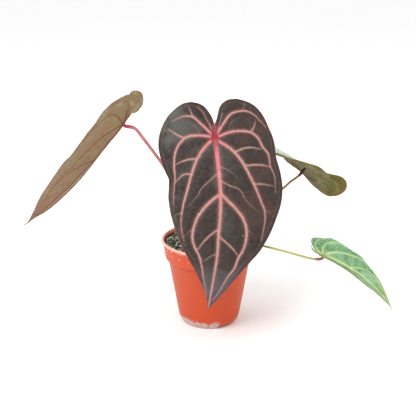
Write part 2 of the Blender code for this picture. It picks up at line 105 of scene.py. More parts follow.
# The front leaf's outline in millimetres from the stalk joint, x to the right, y towards the lobes
FRONT_RIGHT = (
    (27, 47.5), (38, 45), (50, 38), (60, 26.5), (67, 12), (72, -4), (74, -19), (77, -32), (81, -48),
    (82, -63), (79, -82), (72, -101), (63, -119), (52, -136), (39, -150), (26, -164), (14, -178),
    (4, -189), (-5, -198), (-11, -205),
)
FRONT_RIGHT_LOBE = ((27, 47.5), (18, 46.5), (11.5, 43), (7, 38), (4.6, 31), (2.7, 23), (0.2, 16.8))
FRONT_LEFT = (
    (-27, 44.2), (-37, 42.4), (-47, 36.5), (-57, 26.5), (-64.5, 14), (-68, 1), (-67.5, -14),
    (-63, -31), (-57.5, -46), (-56, -58), (-56.5, -72), (-54, -88), (-49.5, -106), (-43.5, -123),
    (-34.5, -141), (-25, -158), (-18, -174), (-13, -188), (-11.3, -198), (-11, -205),
)
FRONT_LEFT_LOBE = ((-27, 44.2), (-18, 42.5), (-11, 38), (-6.3, 32), (-3, 26.5), (-1, 21), (0.2, 16.8))
FRONT_MIDRIB = (
    (0.2, 16.8), (0, 0), (3.5, -27), (5.9, -56), (5.9, -84), (4, -114), (0, -154), (-6, -183), (-11, -205),
)

# Veins: width where it starts and where it ends, then the places it passes
FRONT_MAIN = (
    (2.6, 4.2, ((0, 17), (0, 8), (0, 0))),
    (4.6, 1.4, ((0, 0), (2, -14), (4, -34), (6, -60), (6, -78), (5, -98), (3, -118), (1, -142),
        (-4, -170), (-8, -190), (-11, -204))),
    (3.3, 1, ((0, 0), (-7, -6), (-15, -15), (-22, -27), (-28, -43), (-33, -61), (-38, -78),
        (-41, -94), (-41, -108), (-38, -122))),
    (3, 0.9, ((0, 0), (-9, 2), (-20, 3), (-31, 2), (-39, -3), (-46, -13), (-49, -28), (-48, -47),
        (-50, -67), (-50, -80))),
    (2.9, 0.9, ((0, 1), (-8, 9), (-16, 17), (-25, 25), (-34, 27), (-43, 25), (-51, 21))),
    (1.5, 0.6, ((-1, 4), (-5, 14), (-10, 24), (-14, 32), (-20, 38))),
    (3.4, 1, ((0, 0), (8, -6), (16, -11), (24, -18), (33, -30), (41, -45), (48, -60), (54, -75),
        (59, -88), (59, -101), (56, -114), (54, -124))),
    (2.9, 0.9, ((0, 0), (8, 3), (20, 7), (34, 8), (44, 6), (52, 0), (58, -11), (65, -20), (67, -34),
        (72, -47), (73, -66))),
    (2.8, 0.9, ((0, 1), (6, 10), (12, 19), (19, 28), (29, 32), (40, 32), (49, 27), (56, 20), (63, 13))),
    (1.4, 0.6, ((1, 4), (5, 13), (7, 21), (10, 30))),
    (3.3, 0.8, ((6, -67), (-2, -73), (-12, -82), (-21, -94), (-26, -106), (-28, -119), (-25, -131),
        (-20, -141), (-17, -155), (-15, -170), (-12, -188))),
    (3.4, 0.8, ((6, -66), (14, -75), (24, -85), (32, -96), (36, -108), (36, -121), (32, -134),
        (26, -144), (21, -156), (13, -166), (4, -181), (-5, -193))),
)
FRONT_SIDE = (
    (2.3, 1.6, ((-22, -25), (-32, -26), (-42, -29), (-48, -32))),
    (2.2, 1.5, ((-29, -43), (-38, -44), (-48, -53))),
    (2.3, 1.6, ((-36, 0), (-44, 4), (-55, 12))),
    (1.9, 1.3, ((-25, 25), (-28, 32), (-31, 39))),
    (2.3, 1.5, ((25, -17), (32, -14), (42, -12), (56, -14))),
    (2.5, 1.6, ((37, -34), (46, -33), (56, -33), (66, -35))),
    (2.1, 1.3, ((47, -56), (57, -56), (73, -59))),
    (2.1, 1.3, ((43, 7), (47, 12), (50, 22))),
    (2.3, 1.7, ((4, -109), (-4, -114), (-13, -122), (-22, -133))),
    (2.3, 1.7, ((4, -118), (12, -125), (20, -133), (26, -141))),
    (1.8, 1.3, ((2, -138), (-6, -141), (-17, -148))),
    (1.8, 1.2, ((4, -42), (-5, -50), (-16, -60), (-22, -70), (-36, -84))),
    (1.8, 1.2, ((6, -51), (16, -57), (29, -63), (36, -75), (46, -85), (57, -93))),
    (1.6, 1.1, ((5, -35), (16, -39), (28, -50))),
    (1.6, 1.1, ((59, -88), (65, -90), (70, -95))),
    (1.6, 1.1, ((36, -112), (41, -113), (44, -116))),
    (1.6, 1.1, ((-40, -90), (-45, -90), (-50, -93))),
    (1.6, 1.1, ((-27, -110), (-32, -112), (-38, -118))),
    (1.4, 1.1, ((18, 8), (19, 16), (24, 22))),
    (1.4, 1.1, ((-18, 3), (-20, 10), (-27, 16))),
    (1.4, 1.1, ((34, 33), (36, 39), (37, 43))),
)


# Any other leaf, one half, as shares like the outline
SHARED_MIDRIB = ((0, 0.08), (0, 0), (0, -0.3), (0, -0.65), (0, -1.03))
SHARED_BASAL = (
    (0, 0), (0.19, -0.05), (0.32, -0.09), (0.45, -0.15), (0.58, -0.25), (0.70, -0.36), (0.76, -0.46),
    (0.72, -0.56), (0.62, -0.65),
)
SHARED_MAIN = (
    ((0, 0), (0.19, 0.025), (0.37, 0.04), (0.57, 0.03), (0.72, -0.01), (0.83, -0.09), (0.88, -0.2),
     (0.90, -0.33)),
    ((0, 0.01), (0.13, 0.08), (0.23, 0.13), (0.37, 0.155), (0.55, 0.15), (0.67, 0.125), (0.80, 0.07)),
    ((0.02, 0.03), (0.07, 0.065), (0.12, 0.10), (0.17, 0.15)),
    ((0, -0.33), (0.13, -0.38), (0.29, -0.44), (0.40, -0.51), (0.42, -0.58), (0.38, -0.66), (0.28, -0.75),
     (0.16, -0.85), (0.04, -0.94)),
)
SHARED_SIDE = (
    ((0, -0.20), (0.15, -0.24), (0.37, -0.30), (0.53, -0.40)),
    ((0.45, -0.15), (0.6, -0.15), (0.8, -0.17)),
    ((0.6, -0.27), (0.74, -0.27), (0.88, -0.30)),
    ((0, -0.56), (0.12, -0.60), (0.26, -0.67), (0.34, -0.7)),
    ((0.55, 0.04), (0.62, 0.07), (0.70, 0.11)),
    ((0, -0.68), (0.1, -0.71), (0.2, -0.77)),
    ((0.41, -0.5), (0.52, -0.52), (0.66, -0.57)),
)

# joint: where the stalk meets the blade, its last number from the stalk level; angles in degrees
LEAVES = {
    "front": dict(
        joint=(6.3, -12, 141.6), facing=(2, 24), roll=0, length=205, half_width=75, droop=5, lobes=(8, 8),
        fold=(7, 7), flare=(0, 0), curl=(-34, -24), twist=0, closing=0, stalk=2, hinge=2.4,
        rows=206, columns=66,
        dents=((-58, -49, 6, -3.6), (-53, -38, 6, 1.8), (-40, 4, 16, 1.2), (66, -40, 14, 0.8),
               (-30, 36, 12, 1)),
        stalk_route=((0, 6, 3), (1, 12, 22), (3, 19, 55), (5, 22, 95), (6, 18, 128), (6.3, 8, 152)),
    ),
    "left": dict(
        joint=(-104.6, 9, 153.8), facing=(247.2, 34.4), roll=13.3, length=177.9, half_width=57.2,
        droop=-16, lobes=(-82, 19), fold=(22, 27.1), flare=(-55, 3.4), curl=(15, -29.1), twist=17.7,
        closing=-0.71, stalk=2.09, hinge=2.2, rows=180, columns=50, basal_spread=0.66, midrib_shift=0.02,
        dents=((26, -30, 12, 0.8), (30, -75, 14, -0.8), (22, -110, 10, 0.7)),
        stalk_route=((-6, 0, 3), (-13, 0.5, 26), (-30, 1.5, 62), (-54.2, 3, 100.1), (-72.5, 4.5, 126.3),
                     (-81.1, 5.5, 138), (-90.2, 6.5, 149)),
    ),
    "right_upper": dict(
        joint=(123.2, 45, 89.6), facing=(106.8, 55.8), roll=121.1, length=215.1, half_width=69,
        droop=24.4, lobes=(-49.5, -9.6), fold=(1, 1.6), flare=(0, 0.5), curl=(-36.4, -13.3), twist=-45,
        closing=0.37, stalk=1.6, hinge=2, rows=190, columns=54, basal_spread=1, midrib_shift=0,
        dents=((-40, 4, 12, 1.5), (-50, -20, 10, -1.2)),
        stalk_route=((5.4, 2.5, 5), (20, 7, 13.4), (52, 18, 36), (92, 31.5, 63.5), (103, 35.5, 72.3),
                     (114.5, 40, 79.5)),
    ),
    "right_lower": dict(
        joint=(131, -90, 22), facing=(67.2, 72), roll=5.1, length=101, half_width=35.3,
        droop=32.9, lobes=(-35.9, -41.8), fold=(19.1, 17), flare=(-0.8, -9.2), curl=(11.4, -3.3),
        twist=0.3, closing=-0.52, stalk=1.3, hinge=1.7, rows=150, columns=44, basal_spread=0.97,
        midrib_shift=0.1, dents=((9, 9, 7, -1.6),),
        stalk_route=((4.9, -3.4, 5), (15, -10, 13), (64.3, -41, 14.8), (94.1, -61, 14.2),
                     (119.3, -79, 13.4)),
    ),
}


def tone(red, green, blue):
    """A screen colour from 0 to 255 as linear light."""
    linear = (((c / 255 + 0.055) / 1.055) ** 2.4 if c > 10 else c / 3295 for c in (red, green, blue))
    return (*linear, 1)


# ---- paths
def curve_through(points, share):
    """The point at a share of the way along a smooth curve through evenly weighted points."""
    at = min(max(share, 0), 1) * (len(points) - 1)
    low = min(int(at), len(points) - 2)
    before, start, end, after = (points[min(max(low + i, 0), len(points) - 1)] for i in (-1, 0, 1, 2))
    share = at - low
    square = share * share
    cube = square * share
    return 0.5 * (
        2 * start
        + (end - before) * share
        + (2 * before - 5 * start + 4 * end - after) * square
        + (3 * start - before - 3 * end + after) * cube
    )


def even_points(route, step):
    """Points about a step apart along a smooth curve through the route."""
    route = [Vector(place) for place in route]
    fine = [curve_through(route, i / 400) for i in range(401)]
    run = [0]
    for before, after in zip(fine, fine[1:]):
        run.append(run[-1] + (after - before).length)
    count = max(3, round(run[-1] / step))
    points = []
    low = 0
    for i in range(count + 1):
        wanted = run[-1] * i / count
        while low < len(run) - 2 and run[low + 1] < wanted:
            low += 1
        share = (wanted - run[low]) / max(run[low + 1] - run[low], 1e-9)
        points.append(fine[low].lerp(fine[low + 1], share))
    return points


def split_route(points, tail):
    """Cuts a list of points so that the second list is the last tail of its length."""
    left = tail
    for i in range(len(points) - 1, 0, -1):
        span = (points[i] - points[i - 1]).length
        if span >= left:
            corner = points[i].lerp(points[i - 1], left / span)
            return points[:i] + [corner], [corner] + points[i:]
        left -= span
    return points[:2], points[1:]


def along_list(values, share):
    at = share * (len(values) - 1)
    low = min(int(at), len(values) - 2)
    return values[low] + (values[low + 1] - values[low]) * (at - low)


def bell(distance, reach):
    return math.exp(-((distance / reach) ** 2))


# ---- making pieces
def place_in_scene(name, data):
    made = bpy.data.objects.new(name, data)
    bpy.context.scene.collection.objects.link(made)
    return made


def finish_piece(name, mesh, node, skins, sharp):
    """Names the piece, gives it its materials and ties it to the part; sharp in degrees."""
    piece = place_in_scene(name, mesh)
    if not mesh.materials:
        for skin in skins:
            mesh.materials.append(skin)
    mesh.shade_smooth()
    mesh.set_sharp_from_angle(angle=math.radians(sharp))
    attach(piece, "root")
    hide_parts(node)
    return piece


def to_mesh(name, shape):
    mesh = bpy.data.meshes.new(name)
    shape.to_mesh(mesh)
    shape.free()
    return mesh


def settle(mesh, build):
    """The mesh after the modifiers that build adds to a holder."""
    holder = place_in_scene(mesh.name, mesh)
    helpers = build(holder) or []
    bpy.context.view_layer.update()
    depsgraph = bpy.context.evaluated_depsgraph_get()
    made = bpy.data.meshes.new_from_object(holder.evaluated_get(depsgraph), depsgraph=depsgraph)
    for old in [holder, *helpers]:
        bpy.data.objects.remove(old, do_unlink=True)
    return made


def turned_shape(profile, steps):
    """A profile of (radius, height) points spun round Z."""
    shape = bmesh.new()
    verts = [shape.verts.new((radius, 0, height)) for radius, height in profile]
    edges = [shape.edges.new(pair) for pair in zip(verts, verts[1:])]
    bmesh.ops.spin(
        shape, geom=verts + edges, cent=(0, 0, 0), axis=(0, 0, 1), dvec=(0, 0, 0), angle=math.tau,
        steps=steps, use_merge=True, use_normal_flip=False, use_duplicate=False,
    )
    bmesh.ops.remove_doubles(shape, verts=shape.verts, dist=NOTHING)
    bmesh.ops.recalc_face_normals(shape, faces=shape.faces)
    return shape


def round_edges(shape, width, segments=2):
    """Bevels every edge sharper than 20 degrees."""
    edges = [e for e in shape.edges if e.is_manifold and e.calc_face_angle(0) > math.radians(20)]
    bmesh.ops.bevel(
        shape, geom=edges, offset=width, offset_type="OFFSET", affect="EDGES", segments=segments, profile=0.5,
        material=-1, clamp_overlap=True,
    )


def tube_shape(points, radii, sides=14):
    """A capped tube along points that knows how far along each ring is."""
    shape = bmesh.new()
    along = shape.verts.layers.float.new("along")
    heading = (points[1] - points[0]).normalized()
    turn = Vector((0, 0, 1)).rotation_difference(heading).to_matrix().to_4x4()
    start = Matrix.Translation(points[0]) @ turn
    old_radius = along_list(radii, 0)
    first = bmesh.ops.create_circle(shape, cap_ends=True, segments=sides, radius=old_radius, matrix=start)
    ring = list(first["verts"])
    edges = [e for e in shape.edges if not e.is_wire]
    run = 0
    total = sum((b - a).length for a, b in zip(points, points[1:]))
    for i in range(1, len(points)):
        here = points[i]
        step = here - points[i - 1]
        run += step.length
        ahead = (points[min(i + 1, len(points) - 1)] - points[i - 1]).normalized()
        made = bmesh.ops.extrude_edge_only(shape, edges=edges)["geom"]
        ring = [g for g in made if isinstance(g, bmesh.types.BMVert)]
        edges = [g for g in made if isinstance(g, bmesh.types.BMEdge) and all(v in ring for v in g.verts)]
        bmesh.ops.translate(shape, verts=ring, vec=step)
        radius = along_list(radii, run / total)
        centre = Matrix.Translation(-here)
        bmesh.ops.rotate(shape, verts=ring, cent=here, matrix=heading.rotation_difference(ahead).to_matrix())
        bmesh.ops.scale(shape, verts=ring, vec=(radius / old_radius,) * 3, space=centre)
        heading, old_radius = ahead, radius
        for vert in ring:
            vert[along] = run
    bmesh.ops.edgeloop_fill(shape, edges=edges)
    bmesh.ops.recalc_face_normals(shape, faces=shape.faces)
    return shape


# ---- nodes
bench = SimpleNamespace(tree=None)  # the node tree that is being wired


def fill(socket, value):
    if isinstance(value, bpy.types.NodeSocket):
        bench.tree.links.new(value, socket)
    elif value is not None:
        socket.default_value = value


def put(kind, *values, **settings):
    """Adds a node and fills its sockets in order with links or numbers."""
    made = bench.tree.nodes.new("ShaderNode" + kind)
    for key, value in settings.items():
        setattr(made, key, value)
    for socket, value in zip(made.inputs, values):
        fill(socket, value)
    return made


def times(first, second):
    return put("Math", first, second, operation="MULTIPLY").outputs[0]


def plus(first, second):
    return put("Math", first, second, operation="ADD").outputs[0]


def minus(first, second):
    return put("Math", first, second, operation="SUBTRACT").outputs[0]


def ramp(value, low, high, most=1, least=0):
    """A soft step from least at low to most at high."""
    made = put("MapRange", interpolation_type="SMOOTHSTEP")
    names = ("Value", "From Min", "From Max", "To Min", "To Max")
    for name, given in zip(names, (value, low, high, least, most)):
        fill(made.inputs[name], given)
    return made.outputs["Result"]


def mix(share, first, second):
    """Mixes two colours, each a screen colour of three numbers or another node's."""
    made = put("Mix", data_type="RGBA", clamp_factor=True)
    fill(made.inputs[0], share)
    for number, paint in ((6, first), (7, second)):
        fill(made.inputs[number], tone(*paint) if isinstance(paint, tuple) else paint)
    return made.outputs[2]


def coat(colour, *layers):
    """Lays paints over a colour, each with its share."""
    for share, paint in layers:
        colour = mix(share, colour, paint)
    return colour


def noisy(vector, scale, detail=3, rough=0.55, warp=0):
    made = put("TexNoise", vector)
    for name, value in (("Scale", scale), ("Detail", detail), ("Roughness", rough), ("Distortion", warp)):
        fill(made.inputs[name], value)
    return made.outputs["Fac"]


def stretched(vector, size):
    made = put("Mapping", vector)
    made.inputs["Scale"].default_value = size
    return made.outputs["Vector"]


def read(name, vector=False):
    made = put("Attribute", attribute_name=name)
    return made.outputs["Vector" if vector else "Fac"]


def new_group(name, takes, gives):
    """A node group with named sockets; returns those it takes and those it gives."""
    tree = bench.tree = bpy.data.node_groups.new(name, "ShaderNodeTree")
    for label in takes.split():
        kind = "NodeSocketVector" if label == "Vector" else "NodeSocketFloat"
        tree.interface.new_socket(name=label, in_out="INPUT", socket_type=kind)
    for label in gives.split():
        tree.interface.new_socket(name=label, in_out="OUTPUT", socket_type="NodeSocketFloat")
    return tree.nodes.new("NodeGroupInput").outputs, tree.nodes.new("NodeGroupOutput").inputs


def use(group, *values):
    """Places a node group, its sockets filled in the order in which the group names them."""
    return put("Group", *values, node_tree=group).outputs


def build_mottle():
    """Two sizes of soft patches, from 0 to 1."""
    takes, gives = new_group("mottle", "Vector Scale Contrast", "Patch Fine")
    broad = noisy(takes["Vector"], takes["Scale"], 3, 0.55, 0.4)
    fine = noisy(takes["Vector"], times(takes["Scale"], 6.5), 4, 0.6)
    spread = times(minus(broad, 0.5), times(takes["Contrast"], 3))
    fill(gives["Patch"], put("Clamp", plus(spread, 0.5)).outputs[0])
    fill(gives["Fine"], fine)
    return bench.tree


def build_vein_line():
    """A line from a distance counted in half widths, with a soft glow beside it."""
    takes, gives = new_group("vein_line", "Distance Vector Softness Glow", "Line Glow")
    wander = minus(noisy(takes["Vector"], 330, 3), 0.5)
    distance = plus(takes["Distance"], times(wander, 1.4))
    outer = plus(1, takes["Softness"])
    fill(gives["Line"], ramp(distance, outer, minus(1, takes["Softness"])))
    fill(gives["Glow"], ramp(distance, plus(1, takes["Glow"]), 0.8))
    return bench.tree


def build_net():
    """The mesh of smallest veins: lines, and a pillowed height between them."""
    takes, gives = new_group("fine_net", "Vector Cells Line Wobble", "Lines Height")
    drift = put("TexNoise", takes["Vector"])
    drift.inputs["Scale"].default_value = 170
    centred = put("VectorMath", drift.outputs["Color"], (0.5, 0.5, 0.5), operation="SUBTRACT").outputs[0]
    moved = put("VectorMath", centred, operation="SCALE")
    fill(moved.inputs["Scale"], takes["Wobble"])
    place = put("VectorMath", takes["Vector"], moved.outputs[0], operation="ADD").outputs[0]
    cells = put("TexVoronoi", place, feature="DISTANCE_TO_EDGE")
    fill(cells.inputs["Scale"], takes["Cells"])
    gap = cells.outputs["Distance"]
    fill(gives["Lines"], ramp(gap, takes["Line"], 0))
    fill(gives["Height"], ramp(gap, 0, 0.35))
    return bench.tree


def build_specks():
    """A few small irregular spots, such as dust or splashes."""
    takes, gives = new_group("specks", "Vector Scale Share Size", "Spots")
    spots = put("TexVoronoi", takes["Vector"], feature="F1")
    fill(spots.inputs["Scale"], takes["Scale"])
    chosen = put("SeparateColor", spots.outputs["Color"]).outputs
    picked = put("Math", chosen[0], takes["Share"], operation="LESS_THAN").outputs[0]
    size = times(takes["Size"], plus(chosen[1], 0.4))
    fill(gives["Spots"], times(ramp(spots.outputs["Distance"], size, times(size, 0.5)), picked))
    return bench.tree


MOTTLE = build_mottle()
VEIN_LINE = build_vein_line()
NET = build_net()
SPECKS = build_specks()


def new_material(name, **constants):
    """A new material, put on the bench; constants go on the shader's own sockets."""
    made = bpy.data.materials.new(name)
    made.use_nodes = True
    bench.tree = made.node_tree
    for label, value in constants.items():
        bench.tree.nodes["Principled BSDF"].inputs[label.replace("_", " ")].default_value = value
    return made


def own_place():
    return put("TexCoord").outputs["Object"]


def dress(made, colour, roughness, height, depth):
    """Wires a material's colour, its roughness and a bump of a given depth."""
    relief = put("Bump")
    relief.inputs["Strength"].default_value = 1
    relief.inputs["Distance"].default_value = depth
    fill(relief.inputs["Height"], height)
    for label, value in (("Base Color", colour), ("Roughness", roughness), ("Normal", relief.outputs[0])):
        fill(made.node_tree.nodes["Principled BSDF"].inputs[label], value)
    return made


def leaf_skin(name, look):
    """One side of a blade."""
    made = new_material(
        name, Sheen_Weight=look["sheen"], Sheen_Roughness=0.45, Specular_IOR_Level=look["shine"],
        Sheen_Tint=look.get("sheen_tint", (1, 1, 1, 1)),
    )
    flat = read("flat", vector=True)
    across, along = put("SeparateXYZ", flat).outputs[:2]
    mottle = use(MOTTLE, flat, look.get("patches", 24), 1)
    wide = use(MOTTLE, flat, look.get("wide", 9), look.get("wide_contrast", 1.3))
    # The wide mottle lays a pale tone on its high end and the shade tone on its low end, tilted by lean; on
    # the velvet upper side this is painted sheen: blue-grey on the left half, towards the key light, browner
    # on the right.
    lean = plus(times(across, look.get("lean_x", 0)), times(along, look.get("lean_y", 0)))
    pale_patch_and_sheen = plus(times(minus(wide["Patch"], 0.5), 0.8), lean)
    colour = coat(
        mix(mottle["Patch"], *look["field"]),
        (ramp(pale_patch_and_sheen, look.get("pale_patch_and_sheen_from", 0.1), 1.2, look.get("pale_patch_and_sheen_most", 0.7)), look["pale_patch_and_sheen"]),
        (ramp(times(pale_patch_and_sheen, -1), 0.1, 1.2, 0.6), look["shade"]),
        (times(ramp(mottle["Fine"], 0.35, 0.7), 0.16), look["net_tone"]),
    )
    if "blush" in look:
        drawn_out = noisy(stretched(flat, (1, 0.22, 1)), 70, 4, 0.6)
        colour = mix(ramp(drawn_out, 0.58, 0.72, 0.5), colour, look["blush"])
    if "tip" in look:
        paint, start, end = look["tip"]
        colour = mix(ramp(along, start, end, 0.5), colour, paint)

    cells = look["cells"]
    net_place = stretched(flat, look.get("net_stretch", (1, 1, 1)))
    net = use(NET, net_place, cells, 0.07, 0.006)
    small = use(NET, flat, cells * 3.2, 0.10, 0.002)
    main = use(VEIN_LINE, read("main_vein"), flat, 0.42, 2.6)
    thin = use(VEIN_LINE, read("side_vein"), flat, 0.6, 2)
    rosy = read("rosy")
    crimson, pink, pale, streak = look["vein"]
    vein = coat(
        mix(ramp(rosy, 0.05, 0.5), pale, pink),
        (ramp(rosy, 0.55, 0.95), crimson),
        (times(ramp(noisy(flat, 90, 3), 0.4, 0.8), 0.25), streak),
    )
    bold = times(read("main_strength"), look.get("vein_share", 0.95))
    strength = read("strength")
    margin = read("margin")
    collected = times(ramp(margin, 3.2, 4.2), ramp(margin, 5.8, 4.8))
    rim = plus(margin, times(mottle["Fine"], 0.8))
    dust = use(SPECKS, flat, 95, look["dust"], 0.10)
    colour = coat(
        colour,
        (times(net["Lines"], look["net"]), look["net_tone"]),
        (times(small["Lines"], look["net"] * 0.35), look["net_tone"]),
        (times(main["Glow"], look["glow"]), pale),
        (times(thin["Glow"], times(strength, look["glow"] * 0.6)), look["side"]),
        (times(thin["Line"], times(strength, look.get("side_share", 0.75))), look["side"]),
        (times(main["Line"], bold), vein),
        (times(collected, look.get("collected", 0.2)), look["side"]),
        (ramp(rim, look["rim_width"], 0.5, 0.85), look["rim"]),
        (times(dust["Spots"], 0.75), (214, 216, 212)),
    )
    shiny = plus(times(mottle["Fine"], 0.22), look["rough"] - 0.11)
    height = plus(times(net["Height"], 0.55), times(small["Height"], 0.22))
    height = plus(height, times(noisy(flat, 900, 3), 0.35))
    return dress(made, colour, shiny, height, look["depth"] * MM)


# Velvet upper side: lean_x puts the pale blue-grey patch tone, a painted sheen, on the left half, which faces
# the key light, and the browner shade tone on the right half.
VELVET = dict(
    field=((18, 15, 13), (38, 30, 26)), pale_patch_and_sheen=(82, 86, 82), shade=(74, 46, 38),
    vein=((142, 8, 40), (204, 106, 116), (176, 124, 116), (206, 168, 158)), side=(166, 122, 112),
    net_tone=(98, 68, 54), rim=(134, 54, 50), sheen=0.03, sheen_tint=(0.72, 0.8, 0.9, 1), lean_x=-7,
    lean_y=0, pale_patch_and_sheen_from=-0.05, pale_patch_and_sheen_most=0.95, net=0.18, glow=0.2, collected=0.08, rough=0.46,
    shine=0.34, depth=0.8, cells=120, side_share=0.85, wide=20, wide_contrast=2.2, dust=0.06,
    rim_width=1.5, tip=((92, 82, 96), -0.145, -0.185),
)
LOOKS = {
    "velvet_upper": VELVET,
    "left_under": dict(
        field=((136, 120, 82), (130, 104, 80)), pale_patch_and_sheen=(198, 196, 142), shade=(142, 94, 84),
        vein=((120, 26, 40), (112, 42, 40), (118, 66, 54), (140, 76, 66)), side=(112, 72, 54),
        net_tone=(160, 144, 106), rim=(104, 48, 38), sheen=0.05, net=0.24, glow=0.05, collected=0.15,
        side_share=0.35, vein_share=0.7, rough=0.5, shine=0.2, depth=0.6, cells=110, dust=0.01, lean_y=5,
        rim_width=1.6, patches=30, wide=34, wide_contrast=3, blush=(170, 84, 78),
    ),
    "olive_under": dict(
        field=((84, 78, 26), (104, 100, 40)), pale_patch_and_sheen=(136, 134, 66), shade=(74, 60, 18),
        vein=((104, 36, 28), (120, 104, 58), (136, 130, 76), (150, 142, 90)), side=(126, 118, 64),
        net_tone=(134, 128, 72), rim=(156, 88, 34), sheen=0.03, net=0.24, glow=0.14, collected=0.1,
        side_share=0.5, vein_share=0.6, rough=0.45, shine=0.12, depth=0.6, cells=120, rim_width=3,
        dust=0.01, lean_x=6, wide=24, wide_contrast=2,
    ),
    "mint_upper": dict(
        field=((98, 146, 104), (122, 168, 128)), pale_patch_and_sheen=(164, 198, 166), shade=(78, 128, 88),
        vein=((170, 100, 78), (196, 212, 168), (204, 218, 180), (214, 224, 190)), side=(190, 210, 172),
        net_tone=(160, 190, 150), rim=(130, 110, 66), sheen=0.4, net=0.3, glow=0.2, rough=0.36, shine=0.6,
        depth=0.6, cells=170, dust=0.01, rim_width=1.8,
    ),
    # Green upper side: the pale, stretched vein net is partly the leaf's pale veins and partly painted
    # highlight, glossy streaks along them.
    "green_upper": dict(
        field=((46, 102, 58), (84, 142, 100)), pale_patch_and_sheen=(150, 192, 162), shade=(26, 76, 60),
        vein=((150, 120, 70), (188, 206, 132), (178, 204, 134), (206, 220, 168)), side=(158, 192, 118),
        net_tone=(160, 194, 128), rim=(112, 108, 58), sheen=0.05, net=0.5, glow=0.35, collected=0.4,
        rough=0.36, shine=0.45, depth=0.6, cells=150, patches=60, lean_y=-7, pale_patch_and_sheen_from=0.1, dust=0.02,
        rim_width=1, net_stretch=(1, 0.5, 1), wide=36, wide_contrast=3,
        tip=((124, 144, 56), -0.05, -0.085),
    ),
}
LOOKS["green_under"] = dict(
    LOOKS["olive_under"], field=((88, 112, 62), (112, 136, 82)), pale_patch_and_sheen=(150, 170, 116), rim_width=1.4,
    shade=(84, 92, 50), net_tone=(150, 168, 112), side=(146, 164, 108), rim=(132, 142, 84),
    vein=((150, 120, 70), (150, 160, 100), (168, 182, 124), (180, 192, 140)),
)
SKINS = {name: leaf_skin(name, look) for name, look in LOOKS.items()}


# ---- leaves
def leaf_axes(leaf):
    """Across, towards the lobes, and the upper side's normal."""
    turn, rise = (math.radians(angle) for angle in leaf["facing"])
    normal = Vector((math.sin(turn) * math.cos(rise), -math.cos(turn) * math.cos(rise), math.sin(rise)))
    down = Vector((0, 0, -1))
    down = (down - down.dot(normal) * normal).normalized()
    roll = math.radians(leaf["roll"])
    tip = down * math.cos(roll) + normal.cross(down) * math.sin(roll)
    return (-tip).cross(normal), -tip, normal


def leaf_joint(leaf):
    return Vector(leaf["joint"]) * MM + Vector((0, 0, STALK_LEVEL))


def arc(degrees, length, run):
    """How far a bent strip reaches along and off its first direction, and its angle there."""
    turn = math.radians(degrees) / length
    if abs(turn) < 1e-7:
        return run, 0, 0
    return math.sin(turn * run) / turn, (1 - math.cos(turn * run)) / turn, turn * run


def leaf_point(leaf, axes, across, up):
    """A point of the flat leaf, in millimetres from the stalk joint, on the bent leaf in space."""
    x_axis, y_axis, normal = axes
    right = across >= 0
    length = leaf["length"]
    if up <= 0:
        along, off, angle = arc(leaf["droop"], length, -up)
        along = -along
    else:
        along, off, angle = arc(leaf["lobes"][right], 0.25 * length, up)
        angle = -angle
    opening = 1 + leaf["closing"] * min(max(-up / length, -0.3), 1.1)
    flare = leaf["flare"][right] * min(max(up / (0.2 * length), 0), 1)
    fold = math.radians(leaf["fold"][right] * opening + flare)
    out, lift, _ = arc(leaf["curl"][right], leaf["half_width"], abs(across))
    flat = (out * math.cos(fold) - lift * math.sin(fold)) * (1 if right else -1)
    rise = out * math.sin(fold) + lift * math.cos(fold)
    twist = math.radians(leaf["twist"]) * min(max(-up / length, -0.4), 1.2)
    side = flat * math.cos(twist) - rise * math.sin(twist)
    lifted = flat * math.sin(twist) + rise * math.cos(twist)
    place = side * x_axis + (along - lifted * math.sin(angle)) * y_axis
    return leaf_joint(leaf) + (place + (lifted * math.cos(angle) - off) * normal) * MM


def leaf_edges(name, leaf, side):
    """The notch's edge, the midrib and the outer margin of one half."""
    if name == "front":
        margin = FRONT_RIGHT if side > 0 else FRONT_LEFT
        lobe = FRONT_RIGHT_LOBE if side > 0 else FRONT_LEFT_LOBE
        return lobe, FRONT_MIDRIB, margin
    width = side * leaf["half_width"]
    length = leaf["length"]
    lobe = [(x * width, y * length) for x, y in LOBE_EDGE]
    margin = [(x * width, y * length) for x, y in MARGIN]
    return lobe, [lobe[-1], margin[-1]], margin


def leaf_veins(name, leaf):
    """Main and side veins in millimetres."""
    if name == "front":
        return FRONT_MAIN, FRONT_SIDE
    width, length = leaf["half_width"], leaf["length"]
    size = (length / 205) ** 0.5
    shift = leaf["midrib_shift"]

    def placed(route, sign, spread=1):
        return [((x * sign * spread + shift * bell(y + 0.5, 0.45)) * width, y * length) for x, y in route]

    main = [(3.4 * size, 1.2 * size, placed(SHARED_MIDRIB, 1))]
    side = []
    for sign in (1, -1):
        main.append((2.6 * size, 1 * size, placed(SHARED_BASAL, sign, leaf["basal_spread"])))
        main += [(2.1 * size, 0.9 * size, placed(route, sign)) for route in SHARED_MAIN]
        side += [(1.9 * size, 1.2 * size, placed(route, sign)) for route in SHARED_SIDE]
    return main, side


def line_tree(lines):
    """A search tree of places on lines, with the half width at each."""
    places = []
    for start, end, route in lines:
        points = even_points([(x, y, 0) for x, y in route], 0.5)
        for i, point in enumerate(points):
            share = (i / (len(points) - 1)) ** 1.6
            places.append((point, (start + (end - start) * share) / 2))
    tree = kdtree.KDTree(len(places))
    for i, (point, _) in enumerate(places):
        tree.insert(point, i)
    tree.balance()
    return tree, [half for _, half in places]


